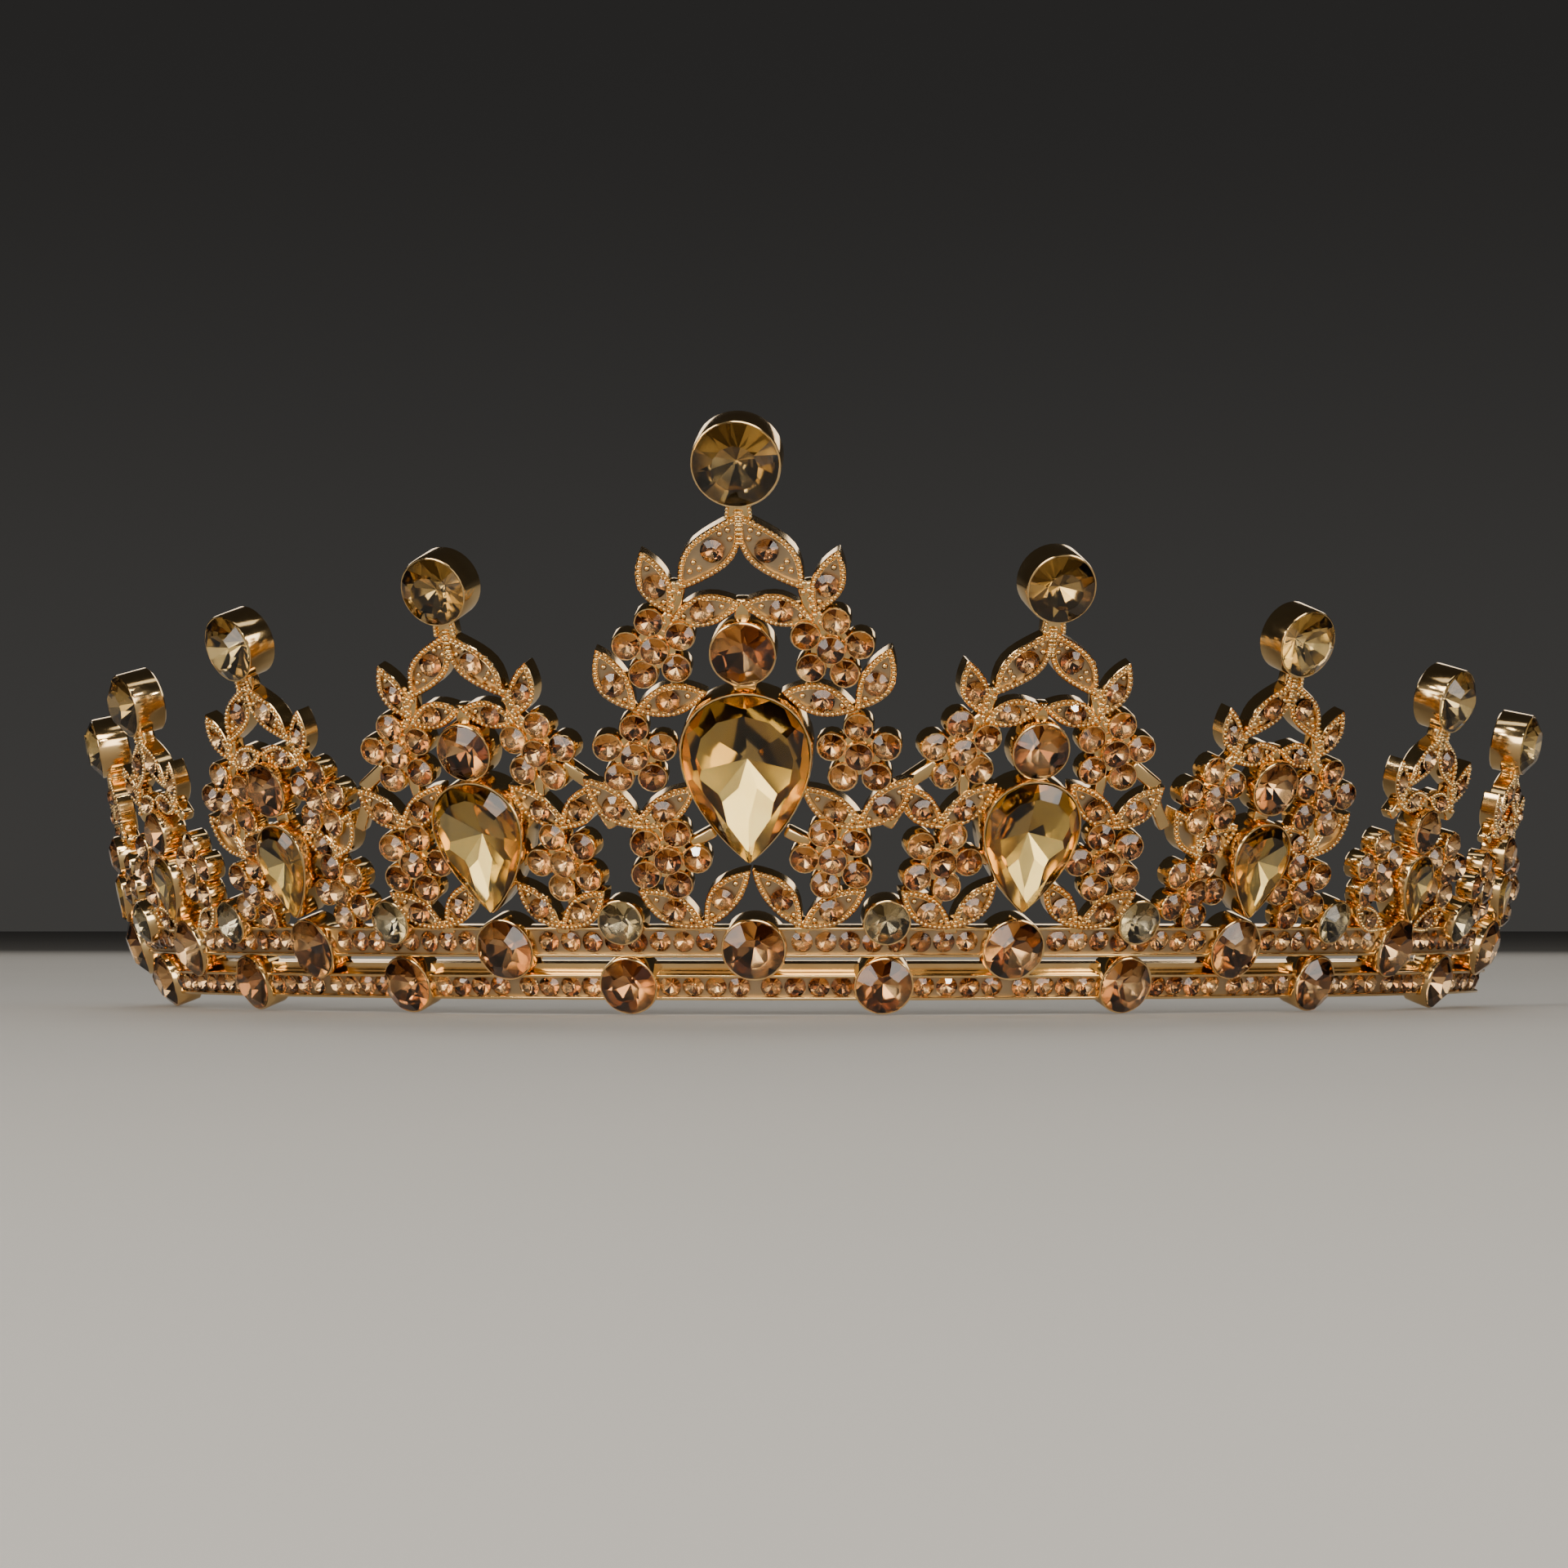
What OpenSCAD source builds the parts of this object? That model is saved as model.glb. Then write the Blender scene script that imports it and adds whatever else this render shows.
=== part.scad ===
// Baroque rhinestone tiara: two stone-set bands and nine cast motifs soldered into one frame,
// with foil-backed stones set in cups. Millimetres, +Z up, the front faces -Y.
// In a motif's own plane x runs to the right, y up the lean from the lower stones, z outwards.

/* [Bands] */
// Radius of the front of the lower band
front_radius = 70; // [60:1:80]
// Radius of the straighter side arcs
side_radius = 92; // [80:1:120]
// Arc length from one motif to the next
pitch = 26.65; // [24:0.05:30]
// Arc length from the front to each band end
half_length = 114; // [113:0.5:118]
// Outward lean of the bands, in degrees
band_lean = 20; // [10:1:25]
// Depth of each channel band, front to back
band_depth = 1.3; // [1.1:0.1:1.8]
// Width of a channel's bright rail
rail_width = 0.38; // [0.3:0.02:0.5]
// Depth of a channel's stone floor under its rails
channel_depth = 0.55; // [0.4:0.05:0.7]

/* [Castings] */
// Thickness of the cast leaves and flowers
cast_depth = 1.9; // [1.6:0.1:2.4]
// Width of a leaf's raised border
leaf_rim = 0.75; // [0.6:0.05:0.85]
// Depth of a leaf's floor under its border
leaf_floor = 0.6; // [0.4:0.05:0.8]
// Distance from a flower's centre stone to its petal stones
petal_ring = 2.95; // [2.9:0.05:3.1]
// Radius of a petal's cast cup
petal_cup = 1.6; // [1.5:0.02:1.66]

/* [Stones] */
// Radius of the flower stones
flower_stone_r = 1.28; // [1.1:0.02:1.3]
// Radius of the stones that straddle the two bands
upper_stone_r = 3.05; // [2.8:0.05:3.1]
// Radius of the stones on the lower band
lower_stone_r = 2.8; // [2.6:0.05:2.9]
// Radius of the stones between the motifs
between_stone_r = 2.15; // [1.9:0.05:2.2]
// Clearance between a stone's girdle and its cup
setting_gap = 0.08; // [0.06:0.01:0.12]
// Wall of the round cups
cup_wall = 0.3; // [0.25:0.05:0.4]

/* [End eyes] */
// Outer radius of the riveted eye at each band end
eye_r = 2.2; // [2:0.1:2.6]
// Radius of the eye's bore
eye_bore_r = 1.1; // [0.9:0.1:1.3]

/* [Hidden] */
$fn = 48;
band_facets = 240;
cut_over = 6;

// Heights up the lean, from the centre line of the lower stones
lower_band_y = [-1.6, 1.2];
upper_band_y = [3.15, 6.45];
rear_band_y = [-1.3, 2.05];
rear_band_back = 2.6;
upper_stone_y = 4.15;
lower_stone_y = 0.15;
between_stone_y = 7.3;

// Fronts and backs of the cups, outwards from the band's face
row_cup_rim = 0.5;
row_cup_back = -2.45;
between_cup_rim = 0.9;
petal_rim = 0;
heart_rim = 0.6;
heart_cup = 1.5;
round_cup_rim = 0.9;
round_cup_back = -2.0;
top_cup_rim = 0.6;
top_cup_back = -3.0;
pear_cup_rim = 1.3;
pear_cup_back = -2.7;
pear_wall = 0.34;

// Lifts the lower cups' rims onto the floor, and brings the footprint's middle to the origin
lower_cup_r = lower_stone_r + setting_gap + cup_wall;
base_rise = (lower_cup_r - lower_stone_y) * cos(band_lean) + row_cup_rim * sin(band_lean);
plan_back = 44.08;

// Cut of a round stone, as shares of its radius
table_share = 0.56;
crown_share = 0.3;
girdle_share = 0.06;
pavilion_share = 0.6;

// Cut of a pear stone, as shares of its width, with its girdle's height
pear_table_share = 0.72;
pear_crown_share = 0.11;
pear_pavilion_share = 0.24;
pear_girdle = 0.3;

// A stone's girdle lies this far under its rim, and its point this far over its seat
stone_sink = 0.04;
seat_play = 0.1;

// Small overlaps and margins between the outlines of a casting
weld = 0.2;
cup_margin = 0.6;
pear_lip = 0.02;
flower_disc = 2.4;
petal_sides = 14;

// One row for each motif out from the centre, the same on the left and the right
M_LEAN = 0;
M_ROUND_Y = 1;
M_ROUND_R = 2;
M_CREST = 3;
M_TOP_R = 4;
M_PEAR_W = 5;
M_PEAR_L = 6;
M_PEAR_Y = 7;
MOTIFS = [
    // lean, round stone height and radius, crest scale, top stone radius, pear width, length and height
    [22.0, 36.7, 3.10, 1.000, 4.25, 13.0, 18.0, 23.4],
    [22.0, 26.3, 2.80, 0.872, 3.40, 10.0, 14.0, 15.9],
    [19.5, 22.2, 2.70, 0.790, 3.35, 7.0, 10.0, 13.2],
    [16.0, 17.4, 2.20, 0.730, 3.20, 5.0, 7.0, 11.1],
    [12.0, 14.9, 1.95, 0.630, 3.10, 4.0, 5.0, 10.05],
];

// Crest over the round stone, from that stone's centre, at the centre motif's size
CREST_TOP = 20.1;
COLLAR_FOOT = 14;
COLLAR_WIDTH = 2.7;
CRESCENT_MEET = 5.6;
HANGER_WIDTH = 1.6;
NECK_WIDTH = 2.5;
CREST_LEAVES = [
    // start x, y, tip x, y, half width, bow, sway
    [0, 14.6, 6.3, 6.6, 2.2, -0.13, -0.28],
    [7.2, 4.0, 10.1, 10.8, 1.7, -0.25, 0],
    [7.4, 3.3, 0, 5.2, 1.7, -0.15, 0],
];
CREST_BARS = [
    // from x, y, to x, y, width
    [6.4, 7.4, 7.2, 3.6, 1.7],
    [7.0, 3.9, 8.8, 1.9, 1.9],
];

LEAVES = [
    // motif, start x, y, tip x, y, half width, bow
    [0, 11.3, 30.3, 15.1, 37.0, 1.75, -0.45],
    [0, 11.4, 30.3, 3.8, 32.3, 1.75, -0.15],
    [0, 11.0, 17.4, 17.0, 23.0, 1.70, -0.25],
    [0, 12.0, 17.4, 5.4, 22.0, 1.65, 0.25],
    [0, 5.0, 6.4, 11.8, 10.6, 1.70, 0],
    [0, 5.0, 6.4, 0.1, 12.8, 1.60, -0.45],
    [1, 10.1, 17.4, 4.0, 22.4, 1.60, 0.20],
    [1, 9.1, 17.4, 14.4, 22.2, 1.60, -0.20],
    [1, 6.9, 6.3, 2.7, 11.6, 1.50, 0.10],
    [1, 6.9, 6.3, 12.9, 10.5, 1.60, -0.10],
    [2, 8.7, 14.3, 3.2, 17.8, 1.45, 0.15],
    [2, 7.7, 14.3, 12.3, 19.4, 1.50, -0.20],
    [3, 2.9, 6.2, 9.7, 8.7, 1.40, -0.20],
];

FLOWERS = [
    // motif, centre x, y, angle of the first petal
    [0, 9.0, 37.0, 80],
    [0, 11.5, 25.5, 90],
    [0, 8.5, 14.1, 180],
    [1, 8.3, 26.0, 80],
    [1, 9.0, 13.8, 180],
    [2, 7.8, 20.9, 80],
    [2, 7.5, 10.5, 180],
    [3, 7.0, 12.8, 80],
    [4, 6.6, 10.6, 80],
];

BARS = [
    // motif, from x, y, to x, y, width
    [0, 6.2, 15.6, 3.6, 17.0, 1.2],
    [0, 10.9, 30.6, 11.3, 28.2, 1.3],
    [0, 10.6, 19.0, 9.4, 16.0, 1.3],
    [0, 7.8, 11.0, 8.2, 8.6, 1.4],
    [0, 5.0, 7.2, 5.0, 5.6, 1.6],
    [1, 6.4, 15.0, 3.4, 13.6, 1.2],
    [1, 7.6, 23.4, 7.2, 20.6, 1.2],
    [1, 10.6, 24.4, 13.8, 22.0, 1.5],
    [1, 13.4, 20.9, 15.2, 17.4, 1.3],
    [1, 8.6, 10.6, 9.0, 8.4, 1.4],
    [1, 6.9, 7.2, 6.9, 5.6, 1.6],
    [2, 7.6, 18.6, 8.0, 15.0, 1.3],
    [3, 4.0, 7.2, 4.0, 5.6, 1.6],
    [4, 4.6, 10.6, 1.4, 9.6, 1.3],
    [4, 6.6, 8.6, 6.6, 5.6, 1.8],
];

SIDES = [-4, -3, -2, -1, 0, 1, 2, 3, 4];
SIDE_NAMES = ["left_4", "left_3", "left_2", "left_1", "centre", "right_1", "right_2", "right_3", "right_4"];
LOWER_STATIONS = [-3.5, -2.5, -1.5, -0.5, 0.5, 1.5, 2.5, 3.5];

function rows_of(table, k) = [for (r = table) if (r[0] == abs(k)) [for (i = [1:len(r) - 1]) r[i]]];
function motif(k) = MOTIFS[abs(k)];
function top_y(k) = motif(k)[M_ROUND_Y] + CREST_TOP * motif(k)[M_CREST];

// The plan is a front arc with a wider arc tangent to it on each side, from a 3-4-5 triangle's angle on
seam_sin = 0.6;
seam_cos = 0.8;
front_turn = asin(seam_sin);
side_start = front_radius * front_turn * PI / 180;
function turn(s) = abs(s) <= side_start
    ? s / front_radius * 180 / PI
    : sign(s) * (front_turn + (abs(s) - side_start) / side_radius * 180 / PI);
function side_centre(side) = (front_radius - side_radius) * [side * sin(front_turn), -cos(front_turn)];
function plan(s) = abs(s) <= side_start
    ? front_radius * [sin(turn(s)), -cos(turn(s))]
    : side_centre(sign(s)) + side_radius * [sin(turn(s)), -cos(turn(s))];

// Puts its children at arc length s, their x along the band, y up the lean and z outwards
module on_band(s, lean = band_lean) {
    translate([plan(s)[0], plan(s)[1] + plan_back, base_rise])
        rotate([0, 0, turn(s)])
            rotate([90 + band_lean, 0, 0])
                translate([0, upper_stone_y, 0])
                    rotate([lean - band_lean, 0, 0])
                        translate([0, -upper_stone_y, 0]) children();
}

module on_motif(k) {
    on_band(k * pitch, motif(k)[M_LEAN]) children();
}

module both_sides() {
    children();
    mirror([1, 0, 0]) children();
}

// A pointed leaf: a centre line that may bow or sway, with a width that swells from tip to tip
function leaf_line(a, b, bow, sway, t) =
    let (d = b - a, across = [-d[1], d[0]] / norm(d))
    a + d * t + across * (bow * sin(180 * t) + sway * sin(360 * t));
leaf_fullness = 0.85;
function leaf_points(a, b, half, bow, sway, steps = 7) =
    let (d = b - a, swell = half * [-d[1], d[0]] / norm(d))
    concat(
        [for (i = [0:steps]) let (t = i / steps)
            leaf_line(a, b, bow, sway, t) + swell * pow(sin(180 * t), leaf_fullness)],
        [for (i = [steps - 1:-1:1]) let (t = i / steps)
            leaf_line(a, b, bow, sway, t) - swell * pow(sin(180 * t), leaf_fullness)]
    );
module leaf(row) {
    polygon(leaf_points([row[0], row[1]], [row[2], row[3]], row[4], row[5], len(row) > 6 ? row[6] : 0));
}

// A pear outline, its round end up, worked out from one angle that runs round it
pear_sharpness = 0.8;
function pear_swell(t) = sin(t) * pow(sin(t / 2), pear_sharpness);
pear_widest = acos(-pear_sharpness / (2 + pear_sharpness));
function pear_points(w, l, n) = [for (i = [0:n - 1])
    let (t = 360 * i / n, side = t <= 180 ? 1 : -1, u = t <= 180 ? t : 360 - t)
    [side * w / 2 * pear_swell(u) / pear_swell(pear_widest), -l / 2 * cos(u)]];

// A cut stone from its outline: a table, a crown, a girdle and a pavilion that ends in a point
module cut_stone(outline, table, crown, girdle, pavilion) {
    n = len(outline);
    flat = girdle == 0 ? 0 : 1;
    rings = concat(
        [for (p = outline) [p[0], p[1], 0]],
        flat == 1 ? [for (p = outline) [p[0], p[1], girdle]] : [],
        [for (p = outline) [p[0] * table, p[1] * table, girdle + crown]]
    );
    culet = len(rings);
    polyhedron(
        points = concat(rings, [[0, 0, -pavilion]]),
        faces = concat(
            [for (i = [0:n - 1]) [i, (i + 1) % n, culet]],
            [for (ring = [0:flat]) for (i = [0:n - 1])
                [ring * n + i, ring * n + n + i, ring * n + n + (i + 1) % n, ring * n + (i + 1) % n]],
            [[for (i = [n - 1:-1:0]) culet - n + i]]
        )
    );
}
function ring_points(r, n) = [for (i = [0:n - 1]) r * [cos(360 * (i + 0.5) / n), sin(360 * (i + 0.5) / n)]];
function culet_depth(r) = (girdle_share + pavilion_share) * r + stone_sink;

// Sits with its girdle's top just under a rim at height zero
module round_stone(r, sides, thin = false) {
    girdle = thin ? 0 : girdle_share * r;
    translate([0, 0, -girdle_share * r - stone_sink])
        cut_stone(ring_points(r, sides), table_share, crown_share * r, girdle, pavilion_share * r);
}
module round_seat(r) {
    depth = culet_depth(r) + seat_play;
    translate([0, 0, -depth]) cylinder(r = r + setting_gap, h = depth + cut_over);
}
module round_cup(r, back, rim) {
    translate([0, 0, back]) cylinder(r = r + setting_gap + cup_wall, h = rim - back);
}

module flower_places(k) {
    for (row = rows_of(FLOWERS, k))
        both_sides() translate([row[0], row[1]]) rotate(row[2]) children();
}
module petal_places() {
    for (i = [0:4]) rotate(72 * i) translate([petal_ring, 0]) children();
}

// The outlines of one motif, in its own plane
module flower_outlines(k) {
    flower_places(k) {
        circle(r = flower_disc, $fn = 10);
        petal_places() rotate(180 / petal_sides) circle(r = petal_cup, $fn = petal_sides);
    }
}
module pear_outline(k, wall) {
    m = motif(k);
    translate([0, m[M_PEAR_Y]]) polygon(pear_points(m[M_PEAR_W] + 2 * wall, m[M_PEAR_L] + 2 * wall, 32));
}

// Places and sizes its children in a crest's own measure
module on_crest(k) {
    translate([0, motif(k)[M_ROUND_Y]]) scale(motif(k)[M_CREST]) children();
}
module leaves(k, inset = 0) {
    both_sides() {
        for (row = CREST_LEAVES) offset(delta = -inset) on_crest(k) leaf(row);
        for (row = rows_of(LEAVES, k)) offset(delta = -inset) leaf(row);
    }
}
module bar(row) {
    d = [row[2], row[3]] - [row[0], row[1]];
    width = row[4];
    translate([row[0], row[1]]) rotate(atan2(d[1], d[0]))
        translate([0, -width / 2]) square([norm(d), width]);
}
module bars(k) {
    m = motif(k);
    round_foot = m[M_ROUND_Y] - m[M_ROUND_R];
    both_sides() for (row = rows_of(BARS, k)) bar(row);
    both_sides() on_crest(k) for (row = CREST_BARS) bar(row);
    on_crest(k) bar([0, CREST_TOP - m[M_TOP_R] / m[M_CREST], 0, COLLAR_FOOT, COLLAR_WIDTH]);
    bar([0, m[M_ROUND_Y] + CRESCENT_MEET * m[M_CREST], 0, m[M_ROUND_Y] + m[M_ROUND_R], HANGER_WIDTH]);
    bar([0, round_foot, 0, m[M_PEAR_Y] + m[M_PEAR_L] / 2 - weld, NECK_WIDTH * m[M_CREST]]);
}
module motif_outline(k) {
    offset(delta = 0) {
        leaves(k);
        flower_outlines(k);
        pear_outline(k, pear_wall);
        bars(k);
    }
}
module leaf_floors(k) {
    m = motif(k);
    offset(delta = 0) difference() {
        leaves(k, leaf_rim);
        flower_outlines(k);
        pear_outline(k, pear_wall + weld);
        translate([0, m[M_ROUND_Y]]) circle(r = m[M_ROUND_R] + cup_margin, $fn = 24);
        translate([0, top_y(k)]) circle(r = m[M_TOP_R] + cup_margin, $fn = 24);
    }
}

// The metal of one motif before its seats are cut
module motif_metal(k) {
    m = motif(k);
    translate([0, 0, -cast_depth]) linear_extrude(cast_depth) motif_outline(k);
    flower_places(k) translate([0, 0, -leaf_floor]) cylinder(r = heart_cup, h = leaf_floor + heart_rim);
    translate([0, m[M_ROUND_Y], 0]) round_cup(m[M_ROUND_R], round_cup_back, round_cup_rim);
    translate([0, top_y(k), 0]) round_cup(m[M_TOP_R], top_cup_back, top_cup_rim);
    translate([0, 0, pear_cup_back]) linear_extrude(pear_cup_rim - pear_cup_back) offset(delta = 0)
        pear_outline(k, pear_wall + pear_lip);
}
module motif_seats(k) {
    m = motif(k);
    translate([0, 0, -leaf_floor]) linear_extrude(leaf_floor + weld) leaf_floors(k);
    flower_places(k) {
        translate([0, 0, heart_rim]) round_seat(flower_stone_r);
        petal_places() translate([0, 0, petal_rim]) round_seat(flower_stone_r);
    }
    translate([0, m[M_ROUND_Y], round_cup_rim]) round_seat(m[M_ROUND_R]);
    translate([0, top_y(k), top_cup_rim]) round_seat(m[M_TOP_R]);
    translate([0, 0, pear_cup_rim - pear_seat_depth(k)]) linear_extrude(pear_seat_depth(k) + cut_over)
        offset(delta = 0) pear_outline(k, setting_gap);
}
function pear_pavilion(k) = pear_pavilion_share * motif(k)[M_PEAR_W];
function pear_seat_depth(k) = pear_pavilion(k) + pear_girdle + stone_sink + seat_play;

// One channel band's section, along the lean and outwards
function channel_section(y) = [
    [y[0], 0], [y[0], -band_depth], [y[1], -band_depth], [y[1], 0],
    [y[1] - rail_width, 0], [y[1] - rail_width, -channel_depth],
    [y[0] + rail_width, -channel_depth], [y[0] + rail_width, 0],
];
rear_round = 0.5;
function rear_section() =
    let (y = rear_band_y, back = -rear_band_back, front = 0.15 - band_depth)
    [
        [y[0], front], [y[0], back + rear_round], [y[0] + rear_round, back],
        [y[1] - rear_round, back], [y[1], back + rear_round], [y[1], front],
    ];
function leaned(section, radius) = [for (p = section) [
    radius + p[0] * sin(band_lean) + p[1] * cos(band_lean),
    base_rise + p[0] * cos(band_lean) - p[1] * sin(band_lean)
]];
module band_sections(radius) {
    polygon(leaned(channel_section(lower_band_y), radius));
    polygon(leaned(channel_section(upper_band_y), radius));
    polygon(leaned(rear_section(), radius));
}
// The front arc is trimmed where its end faces meet the side arcs' faces
module bands() {
    side_turn = turn(half_length) - front_turn;
    trim = 1.5 * front_radius;
    translate([0, plan_back, 0]) intersection() {
        rotate([0, 0, -180]) rotate_extrude(angle = 180, $fn = band_facets) band_sections(front_radius);
        linear_extrude(trim)
            polygon([[0, 0], trim * [-seam_sin, -seam_cos], trim * [seam_sin, -seam_cos]]);
    }
    both_sides() translate([side_centre(1)[0], side_centre(1)[1] + plan_back, 0])
        rotate([0, 0, -90 + front_turn])
            rotate_extrude(angle = side_turn, $fn = band_facets) band_sections(side_radius);
}

module row_places(stations, y) {
    for (k = stations) on_band(k * pitch) translate([0, y, 0]) children();
}

// A stamped eye past each band end, for a ribbon or a pin: its tab lies behind the rear band, riveted to it
eye_depth = 0.8;
eye_gap = 0.2;
eye_reach = 1.5;
eye_y = 0.4;
tab_length = 5;
tab_width = 2.4;
rivet_in = 3.3;
rivet_r = 0.5;
rivet_depth = 0.8;
rivet_play = 0.08;
module eye_place(side) {
    on_band(side * half_length)
        translate([side * eye_reach, eye_y, -rear_band_back - eye_gap - eye_depth]) children();
}
module rivet_hole(side) {
    eye_place(side) translate([-side * rivet_in, 0, eye_depth])
        cylinder(r = rivet_r + rivet_play, h = eye_gap + rivet_depth + rivet_play);
}
module end_eye(side) {
    color("#d9a66a") eye_place(side) difference() {
        union() {
            cylinder(r = eye_r, h = eye_depth);
            translate([side > 0 ? -tab_length : 0, -tab_width / 2, 0])
                cube([tab_length, tab_width, eye_depth]);
            translate([-side * rivet_in, 0, 0])
                cylinder(r = rivet_r, h = eye_depth + eye_gap + rivet_depth);
        }
        translate([0, 0, -1]) cylinder(r = eye_bore_r, h = eye_depth + 2);
    }
}

module frame() {
    color("#d9a66a") difference() {
        union() {
            bands();
            for (k = SIDES) on_motif(k) motif_metal(k);
            row_places(SIDES, upper_stone_y) round_cup(upper_stone_r, row_cup_back, row_cup_rim);
            row_places(LOWER_STATIONS, lower_stone_y) round_cup(lower_stone_r, row_cup_back, row_cup_rim);
            row_places(LOWER_STATIONS, between_stone_y)
                round_cup(between_stone_r, -cast_depth, between_cup_rim);
        }
        for (k = SIDES) on_motif(k) motif_seats(k);
        row_places(SIDES, upper_stone_y) translate([0, 0, row_cup_rim]) round_seat(upper_stone_r);
        row_places(LOWER_STATIONS, lower_stone_y) translate([0, 0, row_cup_rim]) round_seat(lower_stone_r);
        row_places(LOWER_STATIONS, between_stone_y)
            translate([0, 0, between_cup_rim]) round_seat(between_stone_r);
        for (side = [-1, 1]) rivet_hole(side);
    }
}

module upper_row_stones() {
    color("#9a6a44") row_places(SIDES, upper_stone_y)
        translate([0, 0, row_cup_rim]) round_stone(upper_stone_r, 10);
}
module lower_row_stones() {
    color("#9a6a44") row_places(LOWER_STATIONS, lower_stone_y)
        translate([0, 0, row_cup_rim]) round_stone(lower_stone_r, 10);
}
module between_stones() {
    color("#c3ab86") row_places(LOWER_STATIONS, between_stone_y)
        translate([0, 0, between_cup_rim]) round_stone(between_stone_r, 10);
}
module pear_stone(k) {
    m = motif(k);
    outline = pear_points(m[M_PEAR_W], m[M_PEAR_L], 16);
    color("#e6cf94") on_motif(k) translate([0, m[M_PEAR_Y], pear_cup_rim - pear_girdle - stone_sink])
        cut_stone(outline, pear_table_share, pear_crown_share * m[M_PEAR_W], pear_girdle, pear_pavilion(k));
}
module top_stone(k) {
    m = motif(k);
    color("#c08a4c") on_motif(k) translate([0, top_y(k), top_cup_rim]) round_stone(m[M_TOP_R], 12);
}
module mid_round_stone(k) {
    m = motif(k);
    color("#a9744a") on_motif(k) translate([0, m[M_ROUND_Y], round_cup_rim]) round_stone(m[M_ROUND_R], 12);
}
module flower_stones(k) {
    color("#b08a5a") on_motif(k) flower_places(k) {
        translate([0, 0, heart_rim]) round_stone(flower_stone_r, 8, true);
        petal_places() translate([0, 0, petal_rim]) round_stone(flower_stone_r, 8, true);
    }
}

frame();
end_eye(-1);  // end_eye_left
end_eye(1);  // end_eye_right
upper_row_stones();
lower_row_stones();
between_stones();
for (i = [0:8]) pear_stone(SIDES[i]);
for (i = [0:8]) top_stone(SIDES[i]);
for (i = [0:8]) mid_round_stone(SIDES[i]);
for (i = [0:8]) flower_stones(SIDES[i]);
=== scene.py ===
import math
import random

import bmesh
import bpy
from mathutils import Matrix, Vector


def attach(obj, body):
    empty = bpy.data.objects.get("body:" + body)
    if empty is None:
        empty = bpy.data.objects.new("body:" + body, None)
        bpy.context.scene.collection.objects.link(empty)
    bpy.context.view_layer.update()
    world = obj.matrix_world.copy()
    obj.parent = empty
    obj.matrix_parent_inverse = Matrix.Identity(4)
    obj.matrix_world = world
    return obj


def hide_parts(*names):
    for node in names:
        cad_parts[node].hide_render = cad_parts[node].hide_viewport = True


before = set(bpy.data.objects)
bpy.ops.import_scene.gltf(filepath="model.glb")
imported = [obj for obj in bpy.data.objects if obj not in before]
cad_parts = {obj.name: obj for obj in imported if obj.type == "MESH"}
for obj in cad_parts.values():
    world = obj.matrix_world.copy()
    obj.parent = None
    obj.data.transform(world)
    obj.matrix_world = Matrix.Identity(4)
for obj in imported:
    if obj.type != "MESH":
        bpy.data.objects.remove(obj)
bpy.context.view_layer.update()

# The bands: two brass strips, each with a sunk channel for small stones, and a plain polished strip
# behind them with two milled lines on its top edge. They are bent to one front arc and two wider side
# arcs, soldered together and plated. Sizes are in millimetres, and each piece is scaled when it is done.
PITCH = 26.65
HALF_LENGTH = 114.0
FRONT_RADIUS = 70.0
SIDE_RADIUS = 92.0
FRONT_TURN = math.asin(0.6)
SIDE_START = FRONT_RADIUS * FRONT_TURN
SIDE_TURN = (HALF_LENGTH - SIDE_START) / SIDE_RADIUS
PLAN_BACK = 44.08
BASE_RISE = 3.018
BAND_LEAN = 20.0
UPPER_STONE_Y = 4.15
LOWER_STONE_Y = 0.15
BETWEEN_STONE_Y = 7.3
UPPER_BAND = (3.15, 6.45)
LOWER_BAND = (-1.6, 1.2)
REAR_BAND = (-1.3, 2.05)
REAR_BACK = -2.6
BAND_BACK = -1.3
RAIL = 0.34
CHANNEL_FLOOR = -0.42
FRONT_STEPS = 40
SIDE_STEPS = 28
EDGE_ROUNDING = 0.1
SIDES = range(-4, 5)
SIDE_NAMES = {k: "centre" if k == 0 else ("left_" if k < 0 else "right_") + str(abs(k)) for k in SIDES}
LOWER_STATIONS = [k + 0.5 for k in range(-4, 4)]
MILLIMETRE = 0.001


class Signal:
    """One output of a node. Sums and products of signals add their own Math nodes."""

    def __init__(self, finish, socket):
        self.finish = finish
        self.socket = socket

    def math(self, operation, first, second):
        return self.finish.node("Math", {"operation": operation}, {0: first, 1: second})

    def __add__(self, other):
        return self.math("ADD", self, other)

    def __radd__(self, other):
        return self.math("ADD", other, self)

    def __mul__(self, other):
        return self.math("MULTIPLY", self, other)

    def __rmul__(self, other):
        return self.math("MULTIPLY", other, self)


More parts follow.
